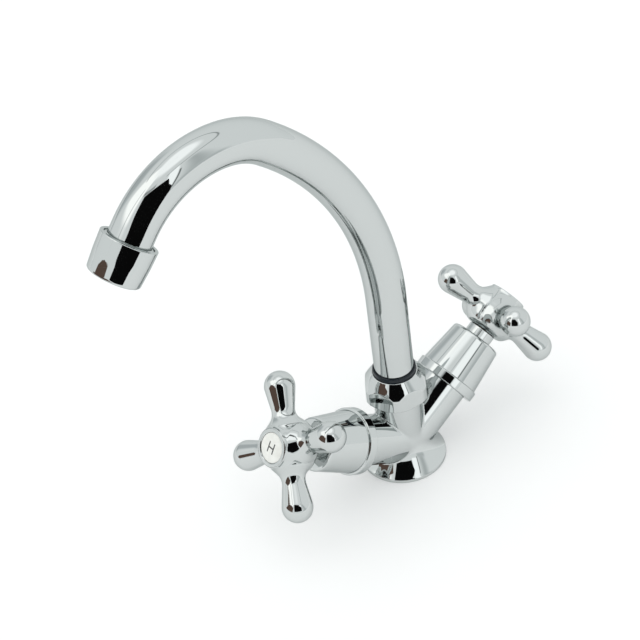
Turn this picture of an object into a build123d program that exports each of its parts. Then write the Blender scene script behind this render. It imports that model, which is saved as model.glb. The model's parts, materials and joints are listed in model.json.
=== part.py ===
from build123d import *
from math import cos, radians, sin, tan
import os

# Two-handle mixer tap on a round foot: a Y-shaped casting, a swivelling swan-neck spout and two
# quarter-turn ceramic valves under bell shrouds, each with a cross handle.
# Millimetres and degrees. Z is up, the foot stands on Z = 0 with its centre at the origin, the hot
# arm leans towards -X, the cold arm towards +X, and at rest the spout points over the hot arm.

# Fits, on the radius or on the gap between two faces
running_gap = 0.05
thread_gap = 0.1
seat_gap = 0.1
free_gap = 0.3
lapped_gap = 0.03

# Casting
foot_width = 9.8
foot_rim_height = 2.3
foot_rim_chamfer = 0.35
flare_height = 24.0
tower_top = 52.0
boss_wall = 2.85
boss_step = 0.7
boss_length = 9.8
boss_chamfer = 0.7
arm_tilt = 31.1
arm_root_height = 11.65
arm_wall = 2.5
arm_length = 44.0

# Waterways and fixings inside the casting
stud_radius = 3.4
stud_depth = 11.5
inlet_offset = 10.0
inlet_radius = 4.5
inlet_depth = 11.5
waterway_radius = 4.0
seat_depth = 14.0
chamber_radius = 8.0
chamber_floor = 24.0
duct_radius = 2.0
duct_offset = 8.0
duct_start = 10.0
gasket_radius = 19.0
gasket_width = 2.6
gasket_height = 1.6

# Spout
tube_radius = 10.0
tube_wall = 1.0
riser_top = 103.9
bend_radii = (160.0, 43.3, 51.2)
bend_angles = (49.3, 31.5, 58.6)
outlet_run = 5.2
tube_engagement = 6.0

# Spout ferrule and its bearing in the tower
ferrule_wall = 3.5
ferrule_length = 18.6
flange_width = 1.2
flange_height = 1.5
spigot_length = 6.5
oring_section = 0.9
ferrule_oring_heights = (5.0, 11.0)
slip_ring_height = 0.8

# Spout nut
nut_wall = 3.65
nut_top_height = 16.5
nut_shoulder_height = 9.3
nut_chamfer_width = 2.5
nut_chamfer_height = 2.0
nut_dome_radius = 56.0
nut_lip = 0.2
flat_wall = 2.2
nut_turn = 20.4
wiper_wall = 0.9
wiper_stand = 2.4
wiper_seat_depth = 1.5
wiper_round = 0.5

# Aerator at the outlet
bush_wall = 1.4
bush_length = 8.4
bush_recess = 0.6
bush_slope = 0.5
bush_lip_inset = 0.1
shell_wall = 1.7
shell_taper = 1.05
shell_length = 17.7
shell_chamfer = 0.6
shell_end_round = 1.3
shell_lip_width = 1.1
shell_lip_height = 2.2
washer_height = 1.1
housing_inset = 0.7
housing_wall = 1.7
screen_thickness = 0.3
screen_pitch = 1.5
screen_hole = 1.0
screen_shares = (0.2, 0.5)  # of the room above the grid
grid_height = 2.0
grid_pitch = 2.3
grid_hole_radius = 0.85

# Valve headwork, stacked outwards from the seat in each arm
seat_seal_height = 2.2
seat_seal_radius = 6.8
seat_seal_bore = 5.2
disc_radius = 7.5
fixed_disc_height = 2.4
moving_disc_height = 2.8
port_inner_radius = 1.8
port_outer_radius = 5.0
port_angle = 76.0
driver_height = 3.0
driver_radius = 7.2
tongue_width = 3.0
tongue_length = 11.0
tongue_depth = 1.2
sleeve_radius = 8.9
sleeve_wall = 1.25
sleeve_start = 1.0
window_width = 7.0
water_gap = 0.8
thread_radius = 10.4
thread_length = 8.0
bonnet_seal_height = 0.8
bonnet_seal_width = 1.8
hex_flats = 22.0
hex_height = 6.2
bonnet_neck_radius = 8.5
clamp_radius = 6.6
clamp_length = 3.9
spindle_radius = 4.0
spline_depth = 0.35
spline_teeth = 20
spindle_oring_places = (10.0, 14.5)
spindle_oring_section = 0.8
clip_radius = 5.6
clip_height = 0.8
clip_mouth = 90.0

# Bell shroud and the ring nut that clamps it
shroud_overlap = 8.7
shroud_ring_radius = 17.0
shroud_ring_length = 4.9
shroud_radius = 15.9
shroud_end_radius = 13.35
shroud_length = 28.7
shroud_step = 0.5
shroud_round = 1.7
shroud_wall = 1.3
shroud_top_wall = 1.6
ring_nut_cover = 2.6
ring_nut_radius = 7.4
ring_nut_chamfer = 0.4

# Cross handle
handle_gap = 0.4
handle_reach = 29.6
hub_back = 10.7
hub_front = 11.4
hub_rear_radius = 7.8
hub_belly_radius = 12.7
hub_front_radius = 9.7
hub_bowl_height = 5.2
hub_bowl_radius = 6.8
hub_belly_length = 5.0
ball_radius = 7.7
grip_taper = 10.0
grip_neck_reach = 17.2
grip_root_radius = 8.2
grip_root_reach = 9.0
hot_turn = 38.1
cold_turn = -33.8
web_distance = 3.4
web_thickness = 2.0
screw_radius = 2.0
screw_length = 12.0
screw_head_radius = 3.7
screw_head_height = 2.4
screw_slot_width = 0.9
screw_slot_depth = 1.0

# Index button in the front of each hub
button_radius = 9.3
button_recess_radius = 8.2
button_flange = 1.0
button_skirt_wall = 0.8
button_skirt_length = 3.0
index_radius = 7.45
index_thickness = 1.8
index_crown = 0.4
index_rim_inset = 0.2

# Heights and distances that follow from the sizes above
ferrule_radius = tube_radius
ferrule_bore = ferrule_radius - ferrule_wall
flange_radius = ferrule_radius + flange_width
socket_radius = ferrule_radius + running_gap
boss_radius = socket_radius + boss_wall
tower_radius = boss_radius - boss_step
foot_radius = tower_radius + foot_width
flange_base = tower_top + slip_ring_height + seat_gap
flange_top = flange_base + flange_height
ferrule_base = flange_base - ferrule_length
nut_base = tower_top - boss_length
nut_top = nut_base + nut_top_height
upper_ring_base = flange_top + seat_gap
nut_shoulder = upper_ring_base + slip_ring_height + seat_gap
slip_ring_inner = tube_radius + free_gap
slip_ring_outer = flange_radius + free_gap
boss_bore = boss_radius + thread_gap
nut_radius = boss_bore + nut_wall
flat_distance = boss_bore + flat_wall
wiper_radius = tube_radius + wiper_wall
nut_recess = slip_ring_outer + free_gap
valve_bore = sleeve_radius + water_gap
thread_bore = thread_radius + thread_gap
arm_radius = thread_bore + arm_wall
thread_start = arm_length - thread_length
seat_distance = arm_length - seat_depth
fixed_disc_start = seat_distance + seat_seal_height
moving_disc_start = fixed_disc_start + fixed_disc_height + lapped_gap
driver_start = moving_disc_start + moving_disc_height + lapped_gap
bonnet_ceiling = driver_start + driver_height + seat_gap
sleeve_bore = sleeve_radius - sleeve_wall
hex_start = arm_length + bonnet_seal_height
shroud_start = arm_length - shroud_overlap
shroud_end = shroud_start + shroud_length
clamp_start = shroud_end - shroud_top_wall
bonnet_end = clamp_start + clamp_length
ring_nut_end = bonnet_end + ring_nut_cover
hub_rear = ring_nut_end + handle_gap
handle_distance = hub_rear + hub_back
web_start = handle_distance + web_distance
web_end = web_start + web_thickness
spindle_end = web_start - free_gap
spline_length = spindle_end - hub_rear + free_gap
button_start = handle_distance + hub_front - button_flange
bush_radius = tube_radius + bush_wall
bush_lip_radius = tube_radius - tube_wall - bush_lip_inset
shell_top_radius = bush_radius + thread_gap + shell_wall
shell_end_radius = shell_top_radius - shell_taper
housing_radius = bush_radius - housing_inset
housing_bore = housing_radius - housing_wall
shell_lip_radius = housing_radius - shell_lip_width

os.makedirs("parts", exist_ok=True)


def save(piece, label):
    piece.part.label = label
    export_step(piece.part, f"parts/{label}.step")


def axial_plane(origin, direction):
    """Plane through an axis: its local X is the radius, its local Y runs along the axis."""
    along = Vector(*direction).normalized()
    across = Vector(0, 1, 0)
    return Plane(origin=origin, x_dir=across, z_dir=across.cross(along))


def cross_plane(axial, distance, turn=0.0):
    """Plane square to an axis, its normal along the axis, turned about it by an angle."""
    origin = axial.origin + axial.y_dir * distance
    x_dir = axial.x_dir.rotate(Axis((0, 0, 0), axial.y_dir), turn)
    return Plane(origin=origin, x_dir=x_dir, z_dir=axial.y_dir)


def turned(axial, points, mode=Mode.ADD, rounds=()):
    """Turn a closed outline of (radius, distance) points about the plane's axis.

    Each of the rounds is a corner of the outline and the radius that it gets.
    """
    with BuildSketch(axial) as outline:
        with BuildLine():
            Polyline(*points, close=True)
        make_face()
        for corner, radius in rounds:
            fillet(outline.vertices().sort_by_distance(corner)[0], radius)
    revolve(outline.sketch, axis=Axis(axial.origin, axial.y_dir), mode=mode)


def tube_outline(inner, outer, start, end):
    return [(inner, start), (outer, start), (outer, end), (inner, end)]


upright = axial_plane((0, 0, 0), (0, 0, 1))
arm_axes = {
    "hot": axial_plane((0, 0, arm_root_height), (-cos(radians(arm_tilt)), 0, sin(radians(arm_tilt)))),
    "cold": axial_plane((0, 0, arm_root_height), (cos(radians(arm_tilt)), 0, sin(radians(arm_tilt)))),
}
handle_turns = {"hot": hot_turn, "cold": cold_turn}

# The trumpet foot narrows in one arc that meets the tower upright
flare_width = foot_radius - foot_rim_chamfer - tower_radius
flare_rise = flare_height - foot_rim_height
flare_radius = (flare_width**2 + flare_rise**2) / (2 * flare_width)

# Mixer body: foot, tower and both arms in one casting
inlet_meeting = inlet_offset / cos(radians(arm_tilt))
inlet_height = arm_root_height + inlet_offset * tan(radians(arm_tilt))
with BuildPart() as mixer_body:
    with BuildSketch(upright):
        with BuildLine():
            rim = Polyline(
                (0, flare_height),
                (0, 0),
                (foot_radius, 0),
                (foot_radius, foot_rim_height - foot_rim_chamfer),
                (foot_radius - foot_rim_chamfer, foot_rim_height),
            )
            flare = RadiusArc(rim @ 1, (tower_radius, flare_height), flare_radius)
            Line(flare @ 1, rim @ 0)
        make_face()
    revolve(axis=Axis.Z)
    turned(upright, tube_outline(0, tower_radius, 0, nut_base))
    turned(
        upright,
        [
            (0, nut_base - (boss_radius - tower_radius)),
            (tower_radius, nut_base - (boss_radius - tower_radius)),
            (boss_radius, nut_base),
            (boss_radius, tower_top - boss_chamfer),
            (boss_radius - boss_chamfer, tower_top),
            (0, tower_top),
        ],
    )
    for axial in arm_axes.values():
        turned(axial, tube_outline(0, arm_radius, 0, arm_length))
    # Spout socket over the mixing chamber
    turned(upright, tube_outline(0, chamber_radius, chamber_floor, tower_top), mode=Mode.SUBTRACT)
    turned(upright, tube_outline(0, socket_radius, ferrule_base - free_gap, tower_top), mode=Mode.SUBTRACT)
    # Valve bores, seats and the ducts that lead from each valve into the chamber
    for axial in arm_axes.values():
        turned(axial, tube_outline(0, waterway_radius, inlet_meeting, seat_distance), mode=Mode.SUBTRACT)
        turned(axial, tube_outline(0, valve_bore, seat_distance, arm_length), mode=Mode.SUBTRACT)
        turned(axial, tube_outline(0, thread_bore, thread_start, arm_length), mode=Mode.SUBTRACT)
        side = 1 if axial.y_dir.X > 0 else -1
        with BuildSketch(cross_plane(axial, duct_start)):
            with Locations((0, side * duct_offset)):
                Circle(duct_radius)
        extrude(amount=seat_distance - duct_start, mode=Mode.SUBTRACT)
    # Inlets, fixing stud and gasket groove in the underside
    with BuildSketch(Plane.XY):
        with Locations((-inlet_offset, 0), (inlet_offset, 0)):
            Circle(inlet_radius)
    extrude(amount=inlet_depth, mode=Mode.SUBTRACT)
    with BuildSketch(Plane.XY):
        with Locations((-inlet_offset, 0), (inlet_offset, 0)):
            Circle(waterway_radius)
    extrude(amount=inlet_height, mode=Mode.SUBTRACT)
    with BuildSketch(Plane.XY):
        Circle(stud_radius)
    extrude(amount=stud_depth, mode=Mode.SUBTRACT)
    with BuildSketch(Plane.XY):
        Circle(gasket_radius + gasket_width / 2)
        Circle(gasket_radius - gasket_width / 2, mode=Mode.SUBTRACT)
    extrude(amount=gasket_height, mode=Mode.SUBTRACT)
save(mixer_body, "mixer_body")

with BuildPart() as base_gasket:
    turned(
        upright,
        tube_outline(
            gasket_radius - gasket_width / 2 + seat_gap,
            gasket_radius + gasket_width / 2 - seat_gap,
            0,
            gasket_height - seat_gap,
        ),
    )
save(base_gasket, "base_gasket")

# Spout nut: a turned nut with a dome, and six flats cut straight up until they run out in the dome
wiper_mouth = wiper_radius + seat_gap
with BuildPart() as spout_nut:
    with BuildSketch(upright):
        with BuildLine():
            side = Polyline(
                (boss_bore, nut_base),
                (nut_radius - nut_chamfer_width, nut_base),
                (nut_radius, nut_base + nut_chamfer_height),
                (nut_radius, nut_base + nut_shoulder_height),
            )
            dome = RadiusArc(side @ 1, (wiper_mouth + nut_lip, nut_top), -nut_dome_radius)
            Polyline(
                dome @ 1,
                (wiper_mouth, nut_top),
                (wiper_mouth, nut_top - wiper_seat_depth),
                (slip_ring_inner, nut_top - wiper_seat_depth),
                (slip_ring_inner, nut_shoulder),
                (nut_recess, nut_shoulder),
                (nut_recess, tower_top + free_gap),
                (boss_bore, tower_top + free_gap),
                side @ 0,
            )
        make_face()
    revolve(axis=Axis.Z)
    with BuildSketch(Plane.XY.offset(nut_base)):
        Circle(nut_radius * 2)
        RegularPolygon(flat_distance, 6, major_radius=False, rotation=nut_turn - 30, mode=Mode.SUBTRACT)
    extrude(amount=nut_top_height, mode=Mode.SUBTRACT)
save(spout_nut, "spout_nut")

with BuildPart() as spout_wiper_ring:
    turned(
        upright,
        [
            (tube_radius + running_gap, nut_top - wiper_seat_depth),
            (wiper_radius, nut_top - wiper_seat_depth),
            (wiper_radius, nut_top + wiper_stand - wiper_round),
            (wiper_radius - wiper_round, nut_top + wiper_stand),
            (tube_radius + running_gap, nut_top + wiper_stand),
        ],
    )
save(spout_wiper_ring, "spout_wiper_ring")

with BuildPart() as spout_slip_rings:
    for base in (tower_top, upper_ring_base):
        turned(upright, tube_outline(slip_ring_inner, slip_ring_outer, base, base + slip_ring_height))
save(spout_slip_rings, "spout_slip_rings")

# Spout ferrule: the plug with two O-rings that turns in the tower and carries the tube
oring_groove = ferrule_radius - 2 * oring_section
with BuildPart() as spout_ferrule:
    turned(upright, tube_outline(ferrule_bore, ferrule_radius, ferrule_base, flange_base))
    turned(upright, tube_outline(ferrule_bore, flange_radius, flange_base, flange_top))
    spigot_radius = tube_radius - tube_wall - running_gap
    turned(upright, tube_outline(ferrule_bore, spigot_radius, flange_top, flange_top + spigot_length))
    for height in ferrule_oring_heights:
        middle = ferrule_base + height
        turned(
            upright,
            tube_outline(
                oring_groove - seat_gap,
                ferrule_radius + free_gap,
                middle - oring_section - seat_gap,
                middle + oring_section + seat_gap,
            ),
            mode=Mode.SUBTRACT,
        )
save(spout_ferrule, "spout_ferrule")

with BuildPart() as ferrule_o_rings:
    for height in ferrule_oring_heights:
        with BuildSketch(upright):
            with Locations((ferrule_radius - oring_section, ferrule_base + height)):
                Circle(oring_section)
        revolve(axis=Axis.Z)
save(ferrule_o_rings, "ferrule_o_rings")

# Spout tube: a straight riser, three tangent bends and a short straight run to the outlet
tube_base = flange_top + running_gap
with BuildPart() as spout_tube:
    with BuildLine(Plane.XZ) as spout_path:
        riser = Line((0, tube_base), (0, riser_top))
        first_bend = JernArc(riser @ 1, riser % 1, bend_radii[0], bend_angles[0])
        second_bend = JernArc(first_bend @ 1, first_bend % 1, bend_radii[1], bend_angles[1])
        third_bend = JernArc(second_bend @ 1, second_bend % 1, bend_radii[2], bend_angles[2])
        outlet_start = third_bend @ 1
        outlet_direction = third_bend % 1
        Line(outlet_start, outlet_start + outlet_direction * (outlet_run + tube_engagement))
    with BuildSketch(Plane.XY.offset(tube_base)):
        Circle(tube_radius)
        Circle(tube_radius - tube_wall, mode=Mode.SUBTRACT)
    sweep(path=spout_path.line)
save(spout_tube, "spout_tube")

# Outlet: distances run down the outlet's axis from the top edge of the aerator shell
outlet = axial_plane(outlet_start + outlet_direction * outlet_run, outlet_direction)
bush_end = bush_recess + bush_length
with BuildPart() as outlet_bush:
    turned(
        outlet,
        [
            (tube_radius + running_gap, bush_recess - bush_slope),
            (bush_radius, bush_recess),
            (bush_radius, bush_end),
            (bush_lip_radius, bush_end),
            (bush_lip_radius, tube_engagement + running_gap),
            (tube_radius + running_gap, tube_engagement + running_gap),
        ],
    )
save(outlet_bush, "outlet_bush")

washer_start = bush_end + seat_gap
housing_start = washer_start + washer_height + seat_gap
lip_start = shell_length - shell_lip_height
housing_end = lip_start - seat_gap
grid_start = housing_end - grid_height
with BuildPart() as aerator_shell:
    turned(
        outlet,
        [
            (bush_radius + thread_gap, 0),
            (shell_top_radius - shell_chamfer, 0),
            (shell_top_radius, shell_chamfer),
            (shell_end_radius, shell_length),
            (shell_lip_radius, shell_length),
            (shell_lip_radius, lip_start),
            (housing_radius + seat_gap, lip_start),
            (housing_radius + seat_gap, bush_end + free_gap),
            (bush_radius + thread_gap, bush_end + free_gap),
        ],
        rounds=[((shell_end_radius, shell_length), shell_end_round)],
    )
save(aerator_shell, "aerator_shell")

with BuildPart() as aerator_washer:
    turned(outlet, tube_outline(bush_lip_radius, housing_radius, washer_start, washer_start + washer_height))
save(aerator_washer, "aerator_washer")

with BuildPart() as aerator_housing:
    turned(outlet, tube_outline(housing_bore, housing_radius, housing_start, housing_end))
save(aerator_housing, "aerator_housing")

screen_radius = housing_bore - running_gap
with BuildPart() as aerator_screens:
    for share in screen_shares:
        depth = housing_start + (grid_start - housing_start) * share
        with BuildSketch(cross_plane(outlet, depth)):
            Circle(screen_radius)
            count = int(2 * screen_radius / screen_pitch)
            with GridLocations(screen_pitch, screen_pitch, count, count) as grid:
                inside = [
                    place
                    for place in grid.local_locations
                    if place.position.length < screen_radius - screen_pitch
                ]
            with Locations(*inside):
                Rectangle(screen_hole, screen_hole, mode=Mode.SUBTRACT)
        extrude(amount=screen_thickness)
save(aerator_screens, "aerator_screens")

with BuildPart() as aerator_grid:
    with BuildSketch(cross_plane(outlet, grid_start)):
        Circle(screen_radius)
        with HexLocations(grid_pitch / 2, 7, 7) as grid:
            inside = [
                place
                for place in grid.local_locations
                if place.position.length < screen_radius - grid_pitch / 2
            ]
        with Locations(*inside):
            Circle(grid_hole_radius, mode=Mode.SUBTRACT)
    extrude(amount=grid_height)
save(aerator_grid, "aerator_grid")


def ports(turn):
    """Two opposite openings through a ceramic disc, cut in the sketch that is being drawn."""
    for half in (0, 180):
        start = turn + half - port_angle / 2
        with BuildLine() as edge:
            inner_arc = CenterArc((0, 0), port_inner_radius, start, port_angle)
            outer_arc = CenterArc((0, 0), port_outer_radius, start, port_angle)
            Line(inner_arc @ 0, outer_arc @ 0)
            Line(inner_arc @ 1, outer_arc @ 1)
        make_face(edge.line.edges(), mode=Mode.SUBTRACT)


# Each grip widens from its neck in a cone that meets the ball in a smooth line
taper = radians(grip_taper)
ball_meeting = (ball_radius * cos(taper), handle_reach - ball_radius * sin(taper))
grip_neck = (ball_meeting[0] - (ball_meeting[1] - grip_neck_reach) * tan(taper), grip_neck_reach)
spline_groove = spindle_radius * radians(180 / spline_teeth)

for side, axial in arm_axes.items():
    turn = handle_turns[side]

    # Fixed pieces of the headwork
    with BuildPart() as valve_seat_seal:
        turned(axial, tube_outline(seat_seal_bore, seat_seal_radius, seat_distance, fixed_disc_start))
    save(valve_seat_seal, f"{side}_seat_seal")

    with BuildPart() as fixed_disc:
        with BuildSketch(cross_plane(axial, fixed_disc_start, turn)):
            Circle(disc_radius)
            ports(0)
        extrude(amount=fixed_disc_height)
    save(fixed_disc, f"{side}_fixed_disc")

    with BuildPart() as valve_bonnet:
        turned(
            axial,
            [
                (sleeve_bore, seat_distance + sleeve_start),
                (sleeve_radius, seat_distance + sleeve_start),
                (sleeve_radius, thread_start + free_gap),
                (thread_radius, thread_start + free_gap),
                (thread_radius, hex_start),
                (bonnet_neck_radius, hex_start),
                (bonnet_neck_radius, clamp_start),
                (clamp_radius, clamp_start),
                (clamp_radius, bonnet_end),
                (spindle_radius + running_gap, bonnet_end),
                (spindle_radius + running_gap, bonnet_ceiling),
                (sleeve_bore, bonnet_ceiling),
            ],
        )
        with BuildSketch(cross_plane(axial, hex_start)):
            RegularPolygon(hex_flats / 2, 6, major_radius=False)
            Circle(spindle_radius + running_gap, mode=Mode.SUBTRACT)
        extrude(amount=hex_height)
        # Two windows let the water out of the sleeve
        with BuildSketch(cross_plane(axial, moving_disc_start)):
            Rectangle(window_width, sleeve_radius * 2 + free_gap)
            Circle(disc_radius - free_gap, mode=Mode.SUBTRACT)
        extrude(amount=moving_disc_height, mode=Mode.SUBTRACT)
    save(valve_bonnet, f"{side}_valve_bonnet")

    with BuildPart() as bonnet_seal:
        turned(
            axial,
            tube_outline(
                thread_bore,
                thread_bore + bonnet_seal_width,
                arm_length,
                hex_start,
            ),
        )
    save(bonnet_seal, f"{side}_bonnet_seal")

    # Bell shroud over the headwork, and the ring nut that clamps its top wall to the bonnet
    with BuildPart() as shroud:
        ring_end = shroud_start + shroud_ring_length
        slope = (shroud_radius - shroud_end_radius) / (shroud_end - ring_end)
        ceiling = shroud_end - shroud_top_wall
        turned(
            axial,
            [
                (arm_radius + free_gap, shroud_start),
                (shroud_ring_radius, shroud_start),
                (shroud_ring_radius, ring_end - shroud_step),
                (shroud_ring_radius - shroud_step, ring_end),
                (shroud_radius, ring_end),
                (shroud_end_radius, shroud_end),
                (clamp_radius + thread_gap, shroud_end),
                (clamp_radius + thread_gap, ceiling),
                (shroud_end_radius - shroud_wall, ceiling),
                (shroud_radius - shroud_wall - slope * (arm_length - ring_end), arm_length + free_gap),
                (arm_radius + free_gap, arm_length + free_gap),
            ],
            rounds=[((shroud_end_radius, shroud_end), shroud_round)],
        )
    save(shroud, f"{side}_shroud")

    with BuildPart() as ring_nut:
        turned(
            axial,
            [
                (clamp_radius + thread_gap, shroud_end),
                (ring_nut_radius, shroud_end),
                (ring_nut_radius, ring_nut_end - ring_nut_chamfer),
                (ring_nut_radius - ring_nut_chamfer, ring_nut_end),
                (clamp_radius + thread_gap, ring_nut_end),
            ],
        )
    save(ring_nut, f"{side}_ring_nut")

    # Moving pieces of the headwork
    with BuildPart() as moving_disc:
        with BuildSketch(cross_plane(axial, moving_disc_start, turn)):
            Circle(disc_radius)
            ports(90)
        extrude(amount=moving_disc_height)
        with BuildSketch(cross_plane(axial, moving_disc_start + moving_disc_height, turn)):
            Rectangle(tongue_length + seat_gap * 2, tongue_width + seat_gap * 2)
        extrude(amount=-(tongue_depth + seat_gap), mode=Mode.SUBTRACT)
    save(moving_disc, f"{side}_moving_disc")

    with BuildPart() as spindle:
        turned(
            axial,
            [
                (0, driver_start),
                (driver_radius, driver_start),
                (driver_radius, driver_start + driver_height),
                (spindle_radius, driver_start + driver_height),
                (spindle_radius, spindle_end),
                (0, spindle_end),
            ],
        )
        with BuildSketch(cross_plane(axial, driver_start, turn)):
            Rectangle(tongue_length, tongue_width)
        extrude(amount=-tongue_depth)
        for place in spindle_oring_places:
            middle = bonnet_ceiling + place
            turned(
                axial,
                tube_outline(
                    spindle_radius - 2 * spindle_oring_section - seat_gap,
                    spindle_radius + free_gap,
                    middle - spindle_oring_section - seat_gap,
                    middle + spindle_oring_section + seat_gap,
                ),
                mode=Mode.SUBTRACT,
            )
        turned(
            axial,
            tube_outline(
                spindle_radius - spindle_oring_section,
                spindle_radius + free_gap,
                bonnet_end + seat_gap / 2,
                bonnet_end + clip_height + seat_gap * 2,
            ),
            mode=Mode.SUBTRACT,
        )
        # Spline at the handle end and the screw's hole in its face
        with BuildSketch(cross_plane(axial, spindle_end, turn)):
            with PolarLocations(spindle_radius, spline_teeth):
                Rectangle(spline_depth * 2, spline_groove)
        extrude(amount=-spline_length, mode=Mode.SUBTRACT)
        with BuildSketch(cross_plane(axial, spindle_end)):
            Circle(screw_radius + thread_gap)
        extrude(amount=-(screw_length + seat_gap), mode=Mode.SUBTRACT)
    save(spindle, f"{side}_spindle")

    with BuildPart() as spindle_o_rings:
        for place in spindle_oring_places:
            with BuildSketch(axial):
                with Locations((spindle_radius - spindle_oring_section, bonnet_ceiling + place)):
                    Circle(spindle_oring_section)
            revolve(axis=Axis(axial.origin, axial.y_dir))
    save(spindle_o_rings, f"{side}_spindle_o_rings")

    with BuildPart() as spindle_clip:
        with BuildSketch(cross_plane(axial, bonnet_end + seat_gap)):
            Circle(clip_radius)
            Circle(spindle_radius - spindle_oring_section + running_gap, mode=Mode.SUBTRACT)
            with BuildLine():
                reach = clip_radius * 2
                half_mouth = radians(clip_mouth / 2)
                Polyline(
                    (0, 0),
                    (reach * cos(half_mouth), reach * sin(half_mouth)),
                    (reach * cos(half_mouth), -reach * sin(half_mouth)),
                    close=True,
                )
            make_face(mode=Mode.SUBTRACT)
        extrude(amount=clip_height)
    save(spindle_clip, f"{side}_spindle_clip")

    # Cross handle: a turned hub and four turned grips that swell into balls
    with BuildPart() as handle:
        belly_start = hub_rear + hub_bowl_height
        belly_end = belly_start + hub_belly_length
        front = handle_distance + hub_front
        with BuildSketch(axial):
            with BuildLine():
                rear_edge = Line((0, hub_rear), (hub_rear_radius, hub_rear))
                rear_bowl = RadiusArc(rear_edge @ 1, (hub_belly_radius, belly_start), -hub_bowl_radius)
                belly = Line(rear_bowl @ 1, (hub_belly_radius, belly_end))
                shoulder = TangentArc(belly @ 1, (hub_front_radius, button_start), tangent=(0, 1))
                rim = Line(shoulder @ 1, (hub_front_radius, front))
                face = Line(rim @ 1, (0, front))
                Line(face @ 1, rear_edge @ 0)
            make_face()
        revolve(axis=Axis(axial.origin, axial.y_dir))
        for arm in range(4):
            flat = cross_plane(axial, handle_distance, turn + 90 * arm)
            grip_plane = Plane(origin=flat.origin, x_dir=flat.z_dir, z_dir=flat.z_dir.cross(flat.x_dir))
            with BuildSketch(grip_plane):
                with BuildLine():
                    inner = Line((0, 0), (grip_root_radius, 0))
                    root = Line(inner @ 1, (grip_root_radius, grip_root_reach))
                    TangentArc(grip_neck, root @ 1, tangent=(-sin(taper), -cos(taper)))
                    shank = Line(grip_neck, ball_meeting)
                    ball = RadiusArc(shank @ 1, (0, handle_reach + ball_radius), -ball_radius)
                    Line(ball @ 1, inner @ 0)
                make_face()
            revolve(axis=Axis(grip_plane.origin, grip_plane.y_dir))
        # Splined socket, screw hole and the recess for the index button
        with BuildSketch(cross_plane(axial, hub_rear, turn)):
            Circle(spindle_radius + running_gap)
            with PolarLocations(spindle_radius, spline_teeth):
                tooth_height = 2 * (spline_depth - running_gap)
                Rectangle(tooth_height, spline_groove - 2 * running_gap, mode=Mode.SUBTRACT)
        extrude(amount=web_start - hub_rear, mode=Mode.SUBTRACT)
        with BuildSketch(cross_plane(axial, web_start)):
            Circle(screw_radius + free_gap)
        extrude(amount=web_thickness, mode=Mode.SUBTRACT)
        turned(axial, tube_outline(0, button_recess_radius, web_end, front), mode=Mode.SUBTRACT)
        turned(axial, tube_outline(0, button_radius + seat_gap, button_start, front), mode=Mode.SUBTRACT)
    save(handle, f"{side}_handle")

    with BuildPart() as handle_screw:
        head_start = web_end + running_gap
        turned(
            axial,
            [
                (0, spindle_end - screw_length),
                (screw_radius, spindle_end - screw_length),
                (screw_radius, head_start),
                (screw_head_radius, head_start),
                (screw_head_radius, head_start + screw_head_height),
                (0, head_start + screw_head_height),
            ],
        )
        with BuildSketch(cross_plane(axial, head_start + screw_head_height, turn)):
            Rectangle(screw_head_radius * 2, screw_slot_width)
            Rectangle(screw_slot_width, screw_head_radius * 2)
        extrude(amount=-screw_slot_depth, mode=Mode.SUBTRACT)
    save(handle_screw, f"{side}_handle_screw")

    # Index button: a chromed bezel with a porcelain disc and a letter
    with BuildPart() as index_bezel:
        skirt_radius = button_recess_radius - seat_gap
        turned(
            axial,
            [
                (skirt_radius - button_skirt_wall, button_start - button_skirt_length),
                (skirt_radius, button_start - button_skirt_length),
                (skirt_radius, button_start),
                (button_radius, button_start),
                (button_radius - button_flange / 2, button_start + button_flange),
                (index_radius + seat_gap, button_start + button_flange),
                (index_radius + seat_gap, button_start + button_flange - index_thickness),
                (skirt_radius - button_skirt_wall, button_start + button_flange - index_thickness),
            ],
        )
    save(index_bezel, f"{side}_index_bezel")

    index_rim = button_start + button_flange - index_rim_inset
    index_base = button_start + button_flange - index_thickness
    crown_radius = (index_radius**2 + index_crown**2) / (2 * index_crown)
    with BuildPart() as index_disc:
        with BuildSketch(axial):
            with BuildLine():
                base_line = Line((0, index_base), (index_radius, index_base))
                wall = Line(base_line @ 1, (index_radius, index_rim))
                crown = RadiusArc(wall @ 1, (0, index_rim + index_crown), -crown_radius)
                Line(crown @ 1, base_line @ 0)
            make_face()
        revolve(axis=Axis(axial.origin, axial.y_dir))
    save(index_disc, f"{side}_index_disc")
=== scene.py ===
import json
import math

import bmesh
import bpy
import numpy as np
from mathutils import Matrix, Vector


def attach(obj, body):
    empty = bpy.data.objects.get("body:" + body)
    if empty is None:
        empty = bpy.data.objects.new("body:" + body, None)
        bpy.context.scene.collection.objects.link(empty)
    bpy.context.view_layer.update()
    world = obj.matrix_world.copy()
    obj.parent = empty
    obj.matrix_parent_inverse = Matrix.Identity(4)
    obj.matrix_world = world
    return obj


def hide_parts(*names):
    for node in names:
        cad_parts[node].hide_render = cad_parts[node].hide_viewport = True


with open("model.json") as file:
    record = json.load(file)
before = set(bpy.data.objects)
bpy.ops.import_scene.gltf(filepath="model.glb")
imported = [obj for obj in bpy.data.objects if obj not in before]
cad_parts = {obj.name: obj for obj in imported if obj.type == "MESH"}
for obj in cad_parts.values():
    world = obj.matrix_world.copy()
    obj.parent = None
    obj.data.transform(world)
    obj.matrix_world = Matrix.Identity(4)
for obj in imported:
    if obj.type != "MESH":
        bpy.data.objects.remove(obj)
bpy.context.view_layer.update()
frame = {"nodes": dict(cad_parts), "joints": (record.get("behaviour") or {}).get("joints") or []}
mm = 0.001
scene = bpy.context.scene
joints = {joint["name"]: joint for joint in frame["joints"]}


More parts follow.
